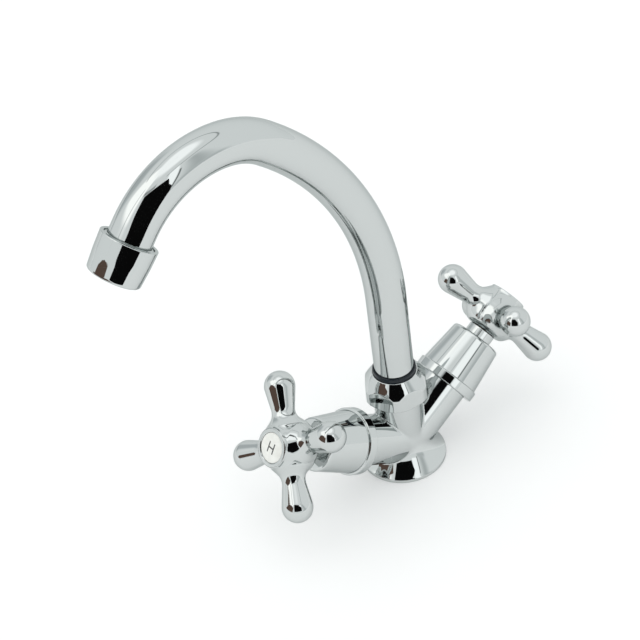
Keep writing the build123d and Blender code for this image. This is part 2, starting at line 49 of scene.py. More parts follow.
# Camera, at the angle, tilt and distance of the photograph
viewOfPhoto = {
    "azimuth": -33.69,
    "elevation": 39.88,
    "roll": -8.39,
    "distance": 904.3,
    "target": (0.0, 0.0, 54.545),
    "aside": (37.45, -27.59),  # millimetres from the middle of the picture to the target
    "focalPixels": 1809.8,
    "picturePixels": 640,
    "sensor": 36.0,
    "clip": (0.01, 60.0),  # metres
}


def placeCamera(view):
    az, el, roll = (math.radians(view[key]) for key in ("azimuth", "elevation", "roll"))
    back = Vector((math.sin(az) * math.cos(el), -math.cos(az) * math.cos(el), math.sin(el)))
    level = Vector((math.cos(az), math.sin(az), 0))
    upward = back.cross(level)
    right = level * math.cos(roll) + upward * math.sin(roll)
    up = upward * math.cos(roll) - level * math.sin(roll)
    turn = Matrix((right, up, back))
    offset = Vector((*view["aside"], -view["distance"])) - turn @ Vector(view["target"])
    eye = turn.transposed() @ -offset
    data = bpy.data.cameras.new("photoCamera")
    data.sensor_width = view["sensor"]
    data.lens = view["focalPixels"] / view["picturePixels"] * view["sensor"]
    data.clip_start, data.clip_end = view["clip"]
    camera = bpy.data.objects.new("photoCamera", data)
    scene.collection.objects.link(camera)
    camera.matrix_world = Matrix.Translation(eye * mm) @ turn.transposed().to_4x4()
    scene.camera = camera


placeCamera(viewOfPhoto)
print("camera placed")


# Shader maths: a socket that takes Python's operators
class Value:
    def __init__(self, tree, socket):
        self.tree = tree
        self.socket = socket

    def math(self, operation, *others):
        return self.tree.add("ShaderNodeMath", {"operation": operation}, (self, *others))

    def __add__(self, other):
        return self.math("ADD", other)

    def __sub__(self, other):
        return self.math("SUBTRACT", other)

    def __mul__(self, other):
        return self.math("MULTIPLY", other)

    def __rsub__(self, other):
        return self.tree.add("ShaderNodeMath", {"operation": "SUBTRACT"}, (other, self))

    def __abs__(self):
        return self.math("ABSOLUTE")

    __radd__ = __add__
    __rmul__ = __mul__

    def lowest(self, other):
        return self.math("MINIMUM", other)

    def highest(self, other):
        return self.math("MAXIMUM", other)

    def fade(self, start, end):
        settings = {"interpolation_type": "SMOOTHSTEP"}
        return self.tree.add("ShaderNodeMapRange", settings, (self, start, end))


class ShaderTree:
    def __init__(self, owner):
        owner.use_nodes = True
        self.nodes = owner.node_tree.nodes
        self.links = owner.node_tree.links
        self.nodes.clear()

    def add(self, kind, settings=None, sockets=(), output=0):
        node = self.nodes.new(kind)
        for key, setting in (settings or {}).items():
            setattr(node, key, setting)
        for key, value in sockets.items() if isinstance(sockets, dict) else enumerate(sockets):
            target = node.inputs[key]
            if isinstance(value, Value):
                self.links.new(value.socket, target)
            elif target.type == "RGBA" and len(value) == 3:
                target.default_value = (*value, 1.0)
            else:
                target.default_value = value
        return Value(self, node.outputs[output]) if len(node.outputs) else node

    def mix(self, factor, first, second):
        sockets = {0: factor, 6: first, 7: second}
        return self.add("ShaderNodeMix", {"data_type": "RGBA"}, sockets, output=2)

    def place(self, output="Object"):
        return self.add("ShaderNodeTexCoord", output=output)

    def noise(self, scale, detail):
        sockets = {"Vector": self.place(), "Scale": scale, "Detail": detail}
        return self.add("ShaderNodeTexNoise", None, sockets)

    def bump(self, height, depth):
        sockets = {"Strength": 1.0, "Distance": depth, "Height": height}
        return self.add("ShaderNodeBump", None, sockets)

    def finish(self, shader, kind="ShaderNodeOutputMaterial"):
        self.add(kind, None, {"Surface": shader})


def newMaterial(name):
    material = bpy.data.materials.new(name)
    return material, ShaderTree(material)


# Finishes
chromeLook = {
    "tint": (0.578, 0.602, 0.598),
    "edgeTint": (0.60, 0.625, 0.622),
    "roughness": 0.025,
    "smears": 0.03,
    "smearScale": 70.0,
    "smearDetail": 3.0,
    "smearEdges": (0.5, 0.8),
}
castingRipple = {"scale": 230.0, "detail": 1.0, "depth": 0.0000022}
plainLook = {"detail": 4.0, "patchEdges": (0.35, 0.65), "uneven": 0.15}
# The plain ones: a colour, how much darker its patches are, roughness, and the scale of the grain
plainFinishes = {
    "wiperRubber": {
        "colour": (0.008, 0.014, 0.020), "spread": 0.3,
        "roughness": 0.22, "grain": 900.0, "shine": 0.3,
    },
    "sealRubber": {
        "colour": (0.02, 0.02, 0.02), "spread": 0.3,
        "roughness": 0.55, "grain": 900.0,
    },
    "machinedBrass": {
        "colour": (0.72, 0.54, 0.26), "spread": 0.12,
        "roughness": 0.18, "grain": 500.0, "metallic": 1.0,
    },
    "slipPlastic": {
        "colour": (0.78, 0.78, 0.74), "spread": 0.08,
        "roughness": 0.35, "grain": 700.0,
    },
    "greyPlastic": {
        "colour": (0.42, 0.43, 0.44), "spread": 0.1,
        "roughness": 0.35, "grain": 700.0,
    },
    "valveCeramic": {
        "colour": (0.85, 0.85, 0.82), "spread": 0.04,
        "roughness": 0.12, "grain": 400.0, "depth": 0.000001,
    },
    "stainless": {
        "colour": (0.6, 0.6, 0.59), "spread": 0.1,
        "roughness": 0.2, "grain": 800.0, "metallic": 1.0,
    },
}


def chrome(name, ripple=None):
    material, tree = newMaterial(name)
    smears = tree.noise(chromeLook["smearScale"], chromeLook["smearDetail"])
    smears = smears.fade(*chromeLook["smearEdges"])
    sockets = {
        "Base Color": chromeLook["tint"],
        "Metallic": 1.0,
        "Specular Tint": chromeLook["edgeTint"],
        "Roughness": smears * chromeLook["smears"] + chromeLook["roughness"],
    }
    if ripple:
        waves = tree.noise(ripple["scale"], ripple["detail"])
        sockets["Normal"] = tree.bump(waves, ripple["depth"])
    tree.finish(tree.add("ShaderNodeBsdfPrincipled", None, sockets))
    return material


def plainFinish(name, colour, spread, roughness, grain, metallic=0.0, depth=0.00001, shine=0.5):
    material, tree = newMaterial(name)
    noise = tree.noise(grain, plainLook["detail"])
    darker = tuple(channel * (1 - spread) for channel in colour)
    sockets = {
        "Base Color": tree.mix(noise.fade(*plainLook["patchEdges"]), darker, colour),
        "Metallic": metallic,
        "Roughness": noise * plainLook["uneven"] + roughness,
        "Specular IOR Level": shine,
        "Normal": tree.bump(noise, depth),
    }
    tree.finish(tree.add("ShaderNodeBsdfPrincipled", None, sockets))
    return material


castChrome = chrome("castChrome", castingRipple)
turnedChrome = chrome("turnedChrome")
finishes = {name: plainFinish(name, **look) for name, look in plainFinishes.items()}
print("finishes made")


# Outlines: corners, each with the radius that rounds it, become lines and arcs that meet smoothly.
# They run with the solid on their left, in millimetres away from and along an axis.
leastRound = 0.12


def roundCorners(corners, closed=False):
    count = len(corners)
    ends = []
    for index, corner in enumerate(corners):
        here = np.array(corner[:2], float)
        if not closed and index in (0, count - 1):
            ends.append((here, here, None))
            continue
        toBefore = np.array(corners[index - 1][:2]) - here
        toAfter = np.array(corners[(index + 1) % count][:2]) - here
        toBefore /= np.linalg.norm(toBefore)
        toAfter /= np.linalg.norm(toAfter)
        half = math.acos(np.clip(toBefore @ toAfter, -1, 1)) / 2
        radius = corner[2] if len(corner) > 2 else leastRound
        reach = radius / math.tan(half)
        middle = toBefore + toAfter
        centre = here + middle / np.linalg.norm(middle) * radius / math.sin(half)
        first, last = here + toBefore * reach, here + toAfter * reach
        start = math.atan2(*(first - centre)[::-1])
        leftward = toBefore[0] * toAfter[1] - toBefore[1] * toAfter[0] < 0
        sweep = (math.pi - 2 * half) * (1 if leftward else -1)
        ends.append((first, last, ("arc", centre, radius, start, sweep)))
    pieces = []
    for index, (first, last, arc) in enumerate(ends):
        if arc:
            pieces.append(arc)
        if index + 1 < count or closed:
            pieces.append(("line", last, ends[(index + 1) % count][0]))
    return pieces


def samplePoints(pieces, closed=False, arcStep=6.0, support=0.06, leastSteps=3):
    points = []
    for piece in pieces:
        if piece[0] == "line":
            start, end = piece[1:]
            length = np.linalg.norm(end - start)
            shares = (0, support / length, 1 - support / length) if length > 4 * support else (0,)
            points += [start + (end - start) * share for share in shares]
        else:
            centre, radius, start, sweep = piece[1:]
            steps = max(leastSteps, round(abs(math.degrees(sweep)) / arcStep))
            angles = start + sweep * np.arange(steps) / steps
            ways = [np.array((math.cos(angle), math.sin(angle))) for angle in angles]
            points += [centre + radius * way for way in ways]
    if not closed:
        points.append(pieces[-1][2])
    return np.array(points)


def outlineDistance(pieces, x, y):
    best = np.full(x.shape, np.inf)
    signed = np.full(x.shape, np.inf)
    for piece in pieces:
        if piece[0] == "line":
            start, end = piece[1:]
            length = np.linalg.norm(end - start)
            if not length:
                continue
            along = (end - start) / length
            dx, dy = x - start[0], y - start[1]
            share = np.clip(dx * along[0] + dy * along[1], 0, length)
            gap = np.hypot(dx - share * along[0], dy - share * along[1])
            side = dx * along[1] - dy * along[0]
        else:
            centre, radius, start, sweep = piece[1:]
            dx, dy = x - centre[0], y - centre[1]
            angle = np.arctan2(dy, dx) - (start + sweep / 2)
            angle = (angle + math.pi) % (2 * math.pi) - math.pi
            angle = np.clip(angle, -abs(sweep) / 2, abs(sweep) / 2) + start + sweep / 2
            gap = np.hypot(dx - radius * np.cos(angle), dy - radius * np.sin(angle))
            side = (np.hypot(dx, dy) - radius) * (1 if sweep > 0 else -1)
        nearer = gap < best
        best = np.where(nearer, gap, best)
        signed = np.where(nearer, np.copysign(gap, side), signed)
    return signed


class Axis:
    def __init__(self, origin, along, across=(0, 1, 0)):
        self.origin = np.array(origin, float)
        self.along = np.array(along, float) / np.linalg.norm(along)
        self.across = np.array(across, float)
        self.third = np.cross(self.along, self.across)

    def shifted(self, distance):
        return Axis(self.origin + self.along * distance, self.along, self.across)

    def flat(self, points):
        away = points - self.origin
        height = away @ self.along
        return np.linalg.norm(away - height[:, None] * self.along, axis=1), height

    def ring(self, radius, height, count):
        angles = np.arange(count) * 2 * math.pi / count
        circle = np.cos(angles)[:, None] * self.across + np.sin(angles)[:, None] * self.third
        return self.origin + height * self.along + radius * circle


# Fields: signed distances in millimetres, positive outside, that join with a fillet
def turnedField(corners, axis, closed=False):
    pieces = roundCorners(corners, closed)
    return lambda points: outlineDistance(pieces, *axis.flat(points))


def joinFields(first, second, fillet):
    def joined(points):
        a, b = first(points), second(points)
        overlap = np.maximum(fillet - np.abs(a - b), 0) / fillet
        return np.minimum(a, b) - overlap * overlap * fillet / 4
    return joined


def trimField(first, second, edgeRound):
    def trimmed(points):
        a, b = first(points), second(points)
        overlap = np.maximum(edgeRound - np.abs(a - b), 0) / edgeRound
        return np.maximum(a, b) + overlap * overlap * edgeRound / 4
    return trimmed


def fieldSlope(field, points, probe=0.004):
    slope = np.empty_like(points)
    for direction in range(3):
        step = np.zeros(3)
        step[direction] = probe
        slope[:, direction] = (field(points + step) - field(points - step)) / (2 * probe)
    return slope


def settle(field, points, rounds=4, furthest=0.6, leastSlope=0.1):
    for _ in range(rounds):
        slope = fieldSlope(field, points)
        move = field(points) / np.maximum((slope * slope).sum(1), leastSlope)
        points = points - np.clip(move, -furthest, furthest)[:, None] * slope
    return points


# Meshes
onAxis = 0.000001  # a point nearer than this to the axis becomes the outline's end on it


def coordinates(mesh):
    flat = np.empty(len(mesh.vertices) * 3)
    mesh.vertices.foreach_get("co", flat)
    return flat.reshape(-1, 3)


def meshFrom(name, points, faces):
    mesh = bpy.data.meshes.new(name)
    mesh.from_pydata(points, [], faces)
    tidy = bmesh.new()
    tidy.from_mesh(mesh)
    bmesh.ops.recalc_face_normals(tidy, faces=tidy.faces)
    tidy.to_mesh(mesh)
    tidy.free()
    mesh.shade_smooth()
    return mesh


def turnedMesh(name, corners, axis, closed=False, around=160, arcStep=6.0):
    outline = samplePoints(roundCorners(corners, closed), closed, arcStep)
    points, rings = [], []
    for radius, height in outline:
        if radius < onAxis:
            rings.append([len(points)] * around)
            points.append(axis.origin + height * axis.along)
        else:
            rings.append(list(range(len(points), len(points) + around)))
            points.extend(axis.ring(radius, height, around))
    faces = []
    for index in range(len(rings) if closed else len(rings) - 1):
        low, high = rings[index], rings[(index + 1) % len(rings)]
        for step in range(around):
            after = (step + 1) % around
            face = dict.fromkeys((low[step], low[after], high[after], high[step]))
            if len(face) > 2:
                faces.append(tuple(face))
    return meshFrom(name, np.array(points) * mm, faces)


def evaluated(obj):
    graph = bpy.context.evaluated_depsgraph_get()
    made = bpy.data.meshes.new_from_object(obj.evaluated_get(graph))
    obj.modifiers.clear()
    return made


def newPiece(name, mesh, material, body, node):
    piece = bpy.data.objects.new(name, mesh)
    scene.collection.objects.link(piece)
    mesh.materials.clear()
    mesh.materials.append(material)
    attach(piece, body)
    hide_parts(node)
    return piece


def joinMeshes(name, meshes):
    joined = bmesh.new()
    for mesh in meshes:
        joined.from_mesh(mesh)
    target = bpy.data.meshes.new(name)
    joined.to_mesh(target)
    joined.free()
    return target


def voxelMesh(name, meshes, voxel):
    rough = bpy.data.objects.new(name, joinMeshes(name, meshes))
    scene.collection.objects.link(rough)
    remesh = rough.modifiers.new("voxels", "REMESH")
    remesh.mode = "VOXEL"
    remesh.voxel_size = voxel * mm
    remesh.use_smooth_shade = True
    made = evaluated(rough)
    bpy.data.objects.remove(rough)
    return made


# Vertices move onto the field, once as they are and once more after the chosen zone is split finer
def settleMesh(mesh, field, needsDetail):
    mesh.vertices.foreach_set("co", (settle(field, coordinates(mesh) / mm) * mm).ravel())
    chosen = needsDetail(coordinates(mesh) / mm)
    fine = bmesh.new()
    fine.from_mesh(mesh)
    edges = [edge for edge in fine.edges if all(chosen[end.index] for end in edge.verts)]
    bmesh.ops.subdivide_edges(fine, edges=edges, cuts=1, use_grid_fill=True)
    fine.to_mesh(mesh)
    fine.free()
    mesh.vertices.foreach_set("co", (settle(field, coordinates(mesh) / mm, rounds=3) * mm).ravel())
    mesh.update()


def cutMesh(mesh, cutters):
    target = bpy.data.objects.new("cutting", mesh)
    scene.collection.objects.link(target)
    tools = []
    for cutter in cutters:
        tool = bpy.data.objects.new("cutter", cutter)
        scene.collection.objects.link(tool)
        tools.append(tool)
        boolean = target.modifiers.new("cut", "BOOLEAN")
        boolean.operation = "DIFFERENCE"
        boolean.solver = "MANIFOLD"
        boolean.object = tool
    made = evaluated(target)
    for used in (*tools, target):
        bpy.data.objects.remove(used)
    return made


# Corners on the field take its own direction as normal, and those of cut faces stay flat
def fieldNormals(mesh, field, near=0.02, leastAgreement=0.75):
    points = coordinates(mesh) / mm
    slope = fieldSlope(field, points)
    length = np.linalg.norm(slope, axis=1)[:, None]
    slope /= np.maximum(length, np.finfo(float).tiny)
    onField = np.abs(field(points)) < near
    mesh.shade_smooth()
    corner = np.empty(len(mesh.loops), dtype=np.int32)
    mesh.loops.foreach_get("vertex_index", corner)
    faceNormals = np.empty(len(mesh.polygons) * 3)
    mesh.polygons.foreach_get("normal", faceNormals)
    totals = np.empty(len(mesh.polygons), dtype=np.int32)
    mesh.polygons.foreach_get("loop_total", totals)
    flat = np.repeat(faceNormals.reshape(-1, 3), totals, axis=0)
    smooth = slope[corner]
    fits = onField[corner] & ((smooth * flat).sum(1) > leastAgreement)
    mesh.normals_split_custom_set(np.where(fits[:, None], smooth, flat))


# Corners of a plain ring, rounded at its outer front edge
def ringCorners(sizes):
    return [
        (sizes["inner"], sizes["start"]),
        (sizes["outer"], sizes["start"]),
        (sizes["outer"], sizes["end"], sizes["round"]),
        (sizes["inner"], sizes["end"]),
    ]


# Axes of the object, from the joints of the frame
handleDistance = 80.0  # from the arm's origin to the plane of the grips
upright = Axis((0, 0, 0), (0, 0, 1))
armAxes, handleAxes = {}, {}
for side in ("hot", "cold"):
    joint = joints[f"{side}_handle_turn"]
    handleAxes[side] = Axis(np.array(joint["pos_m"]) / mm, joint["axis"])
    armAxes[side] = handleAxes[side].shifted(-handleDistance)


# Mixer body: foot, tower and arms with their fillets, then every bore
mixerSizes = {
    "footRadius": 22.0,
    "baseRound": 0.3,
    "rimHeight": 2.3,
    "rimChamfer": 0.35,
    "rimRound": 0.15,
    "flareCorner": 11.1,
    "flareRound": 29.0,
    "towerRadius": 12.2,
    "bossRadius": 12.9,
    "bossStart": 42.2,
    "bossStep": 0.7,
    "towerTop": 52.0,
    "towerRound": 0.2,
    "armRadius": 13.0,
    "armStart": -3.0,
    "armStartRound": 8.0,
    "armLength": 44.0,
    "armRound": 0.4,
    "armFillet": 3.0,
    "footFillet": 0.7,
    "voxel": 0.55,
    "rimZone": (20.3, 3.4),
    "creaseZone": (1.2, 24.0),
}


def makeMixerBody(sizes):
    foot, chamfer = sizes["footRadius"], sizes["rimChamfer"]
    tower, boss = sizes["towerRadius"], sizes["bossRadius"]
    top, step = sizes["towerTop"], sizes["bossStep"]
    column = [
        (0, 0),
        (foot, 0, sizes["baseRound"]),
        (foot, sizes["rimHeight"] - chamfer, sizes["rimRound"]),
        (foot - chamfer, sizes["rimHeight"]),
        (tower, sizes["flareCorner"], sizes["flareRound"]),
        (tower, sizes["bossStart"] - step, sizes["towerRound"]),
        (boss, sizes["bossStart"], sizes["towerRound"]),
        (boss, top - step, sizes["towerRound"]),
        (boss - step, top, sizes["towerRound"]),
        (0, top),
    ]
    arm = [
        (0, sizes["armStart"]),
        (sizes["armRadius"], sizes["armStart"], sizes["armStartRound"]),
        (sizes["armRadius"], sizes["armLength"], sizes["armRound"]),
        (0, sizes["armLength"]),
    ]
    arms = joinFields(*(turnedField(arm, armAxes[side]) for side in armAxes), sizes["armFillet"])
    columnField = turnedField(column, upright)
    field = joinFields(columnField, arms, sizes["footFillet"])
    solids = [turnedMesh("column", column, upright)]
    solids += [turnedMesh("arm", arm, armAxes[side]) for side in armAxes]
    mesh = voxelMesh("mixer", solids, sizes["voxel"])
    zoneRadius, zoneHeight = sizes["rimZone"]
    creaseReach, creaseTop = sizes["creaseZone"]

    def needsDetail(points):
        rim = (np.hypot(points[:, 0], points[:, 1]) > zoneRadius) & (points[:, 2] < zoneHeight)
        crease = np.maximum(np.abs(columnField(points)), np.abs(arms(points))) < creaseReach
        return rim | (crease & (points[:, 2] < creaseTop))

    settleMesh(mesh, field, needsDetail)
    mesh = cutMesh(mesh, mixerBores(top))
    fieldNormals(mesh, field)
    newPiece("mixerCasting", mesh, castChrome, "mixer", "mixer_body")


# Each bore: its radius, and where it ends inside the casting.
# The gasket's groove: both radii and its depth.
boreSizes = {
    "socket": (10.05, 34.0),
    "chamber": (8.0, 24.0),
    "valve": (9.7, 30.0),
    "thread": (10.5, 36.0),
    "waterway": (4.0, 11.7),
    "stud": (3.4, 11.5),
    "inlet": (4.5, 11.5),
    "inletOffset": 10.0,
    "gasket": (17.7, 20.3, 1.6),
    "beyond": 2.0,
    "around": 96,
}


def boreMesh(axis, radius, start, end):
    corners = [(0, start), (radius, start), (radius, end), (0, end)]
    return turnedMesh("bore", corners, axis, around=boreSizes["around"])


def mixerBores(top):
    beyond = boreSizes["beyond"]
    bores = [boreMesh(upright, *boreSizes[name], top + beyond) for name in ("socket", "chamber")]
    armEnd = mixerSizes["armLength"] + beyond
    for axis in armAxes.values():
        bores.append(boreMesh(axis, *boreSizes["thread"], armEnd))
        bores.append(boreMesh(axis, *boreSizes["valve"], boreSizes["thread"][1] + beyond))
        bores.append(boreMesh(axis, *boreSizes["waterway"], boreSizes["valve"][1] + beyond))
        offset = boreSizes["inletOffset"] * (1 if axis.along[0] > 0 else -1)
        radius, depth = boreSizes["inlet"]
        bores.append(boreMesh(Axis((offset, 0, 0), (0, 0, 1)), radius, -beyond, depth))
    radius, depth = boreSizes["stud"]
    bores.append(boreMesh(upright, radius, -beyond, depth))
    inner, outer, depth = boreSizes["gasket"]
    groove = [(inner, -beyond), (outer, -beyond), (outer, depth), (inner, depth)]
    bores.append(turnedMesh("groove", groove, upright, closed=True))
    return bores


makeMixerBody(mixerSizes)
print("mixer body made")


# Spout nut: a turned nut with a dome, its six flats cut straight up until they run out in the dome
nutSizes = {
    "bore": 13.0,
    "base": 42.2,
    "radius": 16.65,
    "chamferWidth": 2.5,
    "chamferHeight": 2.0,
    "chamferRounds": (0.3, 0.4),
    "shoulder": 51.5,
    "shoulderRound": 0.9,
    "domeBulge": (14.3, 55.25, 45.0),
    "top": 58.7,
    "lip": 0.5,
    "lipRound": 0.3,
    "mouthRadius": 11.0,
    "mouthRound": 0.05,
    "wiperSeat": 57.2,
    "shaftHole": 10.3,
    "inside": 55.4,
    "recess": 11.8,
    "recessStart": 52.3,
    "flatDistance": 15.2,
    "flatTurn": 20.4,
    "flatRound": 0.25,
    "voxel": 0.42,
    "edgeZone": (1.2, 1.0),
}
wiperSizes = {"inner": 10.05, "outer": 10.9, "start": 57.25, "end": 61.1, "round": 0.5}


def makeSpoutNut(sizes):
    lowRound, highRound = sizes["chamferRounds"]
    body = [
        (sizes["bore"], sizes["base"]),
        (sizes["radius"] - sizes["chamferWidth"], sizes["base"], lowRound),
        (sizes["radius"], sizes["base"] + sizes["chamferHeight"], highRound),
        (sizes["radius"], sizes["shoulder"], sizes["shoulderRound"]),
        sizes["domeBulge"],
        (sizes["mouthRadius"] + sizes["lip"], sizes["top"], sizes["lipRound"]),
        (sizes["mouthRadius"], sizes["top"], sizes["mouthRound"]),
        (sizes["mouthRadius"], sizes["wiperSeat"]),
        (sizes["shaftHole"], sizes["wiperSeat"]),
        (sizes["shaftHole"], sizes["inside"]),
        (sizes["recess"], sizes["inside"]),
        (sizes["recess"], sizes["recessStart"]),
        (sizes["bore"], sizes["recessStart"]),
    ]
    turned = turnedField(body, upright, closed=True)
    zoneWidth, zoneHeight = sizes["edgeZone"]
    sector = math.pi / 3

    def flats(points):
        angle = np.arctan2(points[:, 1], points[:, 0]) - math.radians(sizes["flatTurn"])
        angle = (angle + sector / 2) % sector - sector / 2
        return np.hypot(points[:, 0], points[:, 1]) * np.cos(angle) - sizes["flatDistance"]

    def nearEdge(points):
        away, height = np.hypot(points[:, 0], points[:, 1]), points[:, 2]
        return (away > sizes["flatDistance"] - zoneWidth) | (height > sizes["top"] - zoneHeight)

    field = trimField(turned, flats, sizes["flatRound"])
    mesh = voxelMesh("nut", [turnedMesh("nut", body, upright, closed=True)], sizes["voxel"])
    settleMesh(mesh, field, nearEdge)
    fieldNormals(mesh, field)
    newPiece("spoutNut", mesh, castChrome, "mixer", "spout_nut")


makeSpoutNut(nutSizes)
wiperMesh = turnedMesh("wiperRing", ringCorners(wiperSizes), upright, closed=True)
newPiece("wiperRing", wiperMesh, finishes["wiperRubber"], "mixer", "spout_wiper_ring")
print("nut and wiper made")


# Spout tube: straight runs and bends, swept by Geometry Nodes and given its wall by Solidify
spoutSizes = {
    "radius": 10.0,
    "wall": 1.0,
    "base": 54.45,
    "riserTop": 103.9,
    "riserPoints": 20,
    "bends": ((160.0, 49.3), (43.3, 31.5), (51.2, 58.6)),  # radius and sweep in degrees
    "outletRun": 5.2,
    "engagement": 6.0,
    "step": 1.1,
    "around": 128,
    "seamGap": 0.000001,  # metres
}


def wayAt(angle):
    return np.array((math.cos(angle), 0, math.sin(angle)))


def spoutPath(sizes):
    heights = np.linspace(sizes["base"], sizes["riserTop"], sizes["riserPoints"])
    points = [np.array((0.0, 0.0, height)) for height in heights]
    here, heading = points[-1], math.pi / 2
    for radius, sweep in sizes["bends"]:
        centre = here + radius * wayAt(heading + math.pi / 2)
        steps = round(math.radians(sweep) * radius / sizes["step"])
        for step in range(1, steps + 1):
            angle = heading - math.pi / 2 + math.radians(sweep) * step / steps
            points.append(centre + radius * wayAt(angle))
        here, heading = points[-1], heading + math.radians(sweep)
    direction = wayAt(heading)
    run = sizes["outletRun"] + sizes["engagement"]
    points += [here + direction * run * share for share in (0.25, 0.5, 0.75, 1.0)]
    outlet = Axis(here + direction * sizes["outletRun"], direction)
    return points, outlet


def tubeTree():
    tree = bpy.data.node_groups.new("sweptTube", "GeometryNodeTree")
    for label, way, kind in (
        ("Path", "INPUT", "NodeSocketGeometry"),
        ("Tube Radius", "INPUT", "NodeSocketFloat"),
        ("Sides", "INPUT", "NodeSocketInt"),
        ("Metal", "INPUT", "NodeSocketMaterial"),
        ("Tube", "OUTPUT", "NodeSocketGeometry"),
    ):
        tree.interface.new_socket(label, in_out=way, socket_type=kind)
    given = tree.nodes.new("NodeGroupInput")
    result = tree.nodes.new("NodeGroupOutput")
    profile = tree.nodes.new("GeometryNodeCurvePrimitiveCircle")
    sweep = tree.nodes.new("GeometryNodeCurveToMesh")
    real = tree.nodes.new("GeometryNodeRealizeInstances")
    metal = tree.nodes.new("GeometryNodeSetMaterial")
    smooth = tree.nodes.new("GeometryNodeSetShadeSmooth")
    for source, target in (
        (given.outputs["Path"], sweep.inputs["Curve"]),
        (given.outputs["Tube Radius"], profile.inputs["Radius"]),
        (given.outputs["Sides"], profile.inputs["Resolution"]),
        (profile.outputs["Curve"], sweep.inputs["Profile Curve"]),
        (sweep.outputs["Mesh"], smooth.inputs["Geometry"]),
        (smooth.outputs["Geometry"], real.inputs["Geometry"]),
        (real.outputs["Geometry"], metal.inputs["Geometry"]),
        (given.outputs["Metal"], metal.inputs["Material"]),
        (metal.outputs["Geometry"], result.inputs["Tube"]),
    ):
        tree.links.new(source, target)
    return tree


def makeSpoutTube(sizes, path):
    curve = bpy.data.curves.new("spoutPath", "CURVE")
    curve.dimensions = "3D"
    spline = curve.splines.new("POLY")
    spline.points.add(len(path) - 1)
    for point, place in zip(spline.points, path):
        point.co = (*(place * mm), 1)
    rough = bpy.data.objects.new("spoutPath", curve)
    scene.collection.objects.link(rough)
    tree = tubeTree()
    sweep = rough.modifiers.new("sweep", "NODES")
    sweep.node_group = tree
    keys = {item.name: item.identifier for item in tree.interface.items_tree}
    sweep[keys["Tube Radius"]] = sizes["radius"] * mm
    sweep[keys["Sides"]] = sizes["around"]
    sweep[keys["Metal"]] = turnedChrome
    skin = evaluated(rough)
    bpy.data.objects.remove(rough)
    turned = bmesh.new()
    turned.from_mesh(skin)
    bmesh.ops.remove_doubles(turned, verts=turned.verts, dist=sizes["seamGap"])
    bmesh.ops.recalc_face_normals(turned, faces=turned.faces)
    turned.to_mesh(skin)
    turned.free()
    skin.shade_smooth()
    piece = newPiece("spoutTube", skin, turnedChrome, "spout", "spout_tube")
    wall = piece.modifiers.new("wall", "SOLIDIFY")
    wall.thickness = sizes["wall"] * mm
    wall.offset = -1  # inwards
    wall.use_rim = True


spoutRun, outlet = spoutPath(spoutSizes)
makeSpoutTube(spoutSizes, spoutRun)
print("spout tube made")


# Outlet: bush and aerator shell, measured down the outlet from the shell's top edge
outletSizes = {
    "tube": 10.05,
    "bushTop": 0.1,
    "bushRecess": 0.6,
    "bushRadius": 11.4,
    "bushRound": 0.1,
    "bushEnd": 9.0,
    "bushBore": 8.9,
    "tubeEnd": 6.05,
    "shellBore": 11.5,
    "shellBoreRound": 0.15,
    "shellTop": 13.2,
    "shellTopRound": 0.4,
    "shellMiddle": (12.9, 8.5, 60.0),
    "shellEnd": 12.15,
    "shellEndRound": 1.6,
    "shellLength": 17.7,
    "shellArcStep": 5.0,
    "lip": 9.6,
    "lipRound": 0.5,
    "lipHeight": 2.2,
    "housing": 10.8,
    "threadEnd": 9.3,
}


def makeOutlet(sizes, axis):
    end = sizes["shellLength"]
    lipStart = end - sizes["lipHeight"]
    bush = [
        (sizes["tube"], sizes["bushTop"]),
        (sizes["tube"], sizes["tubeEnd"]),
        (sizes["bushBore"], sizes["tubeEnd"]),
        (sizes["bushBore"], sizes["bushEnd"]),
        (sizes["bushRadius"], sizes["bushEnd"]),
        (sizes["bushRadius"], sizes["bushRecess"], sizes["bushRound"]),
    ][::-1]
    shell = [
        (sizes["shellBore"], 0, sizes["shellBoreRound"]),
        (sizes["shellBore"], sizes["threadEnd"]),
        (sizes["housing"], sizes["threadEnd"]),
        (sizes["housing"], lipStart),
        (sizes["lip"], lipStart),
        (sizes["lip"], end, sizes["lipRound"]),
        (sizes["shellEnd"], end, sizes["shellEndRound"]),
        sizes["shellMiddle"],
        (sizes["shellTop"], 0, sizes["shellTopRound"]),
    ][::-1]
    bushMesh = turnedMesh("outletBush", bush, axis, closed=True)
    newPiece("outletBush", bushMesh, turnedChrome, "spout", "outlet_bush")
    shellMesh = turnedMesh("aeratorShell", shell, axis, closed=True, arcStep=sizes["shellArcStep"])
    newPiece("aeratorShell", shellMesh, turnedChrome, "spout", "aerator_shell")


makeOutlet(outletSizes, outlet)
print("outlet made")


# Shroud and ring nut of each arm, measured along the arm
shroudSizes = {
    "start": 35.3,
    "ringRadius": 17.0,
    "ringEnd": 40.2,
    "ringRound": 0.45,
    "coneStep": 0.25,
    "coneRadius": 15.9,
    "coneRound": 0.25,
    "topRadius": 13.35,
    "top": 64.0,
    "topRound": 1.7,
    "wall": 1.3,
    "topWall": 1.6,
    "hole": 6.7,
    "mouth": 13.3,
    "mouthRound": 0.2,
    "seat": 44.3,
    "around": 192,
}
ringNutSizes = {"inner": 6.7, "outer": 7.4, "start": 64.0, "end": 68.9, "round": 0.4}


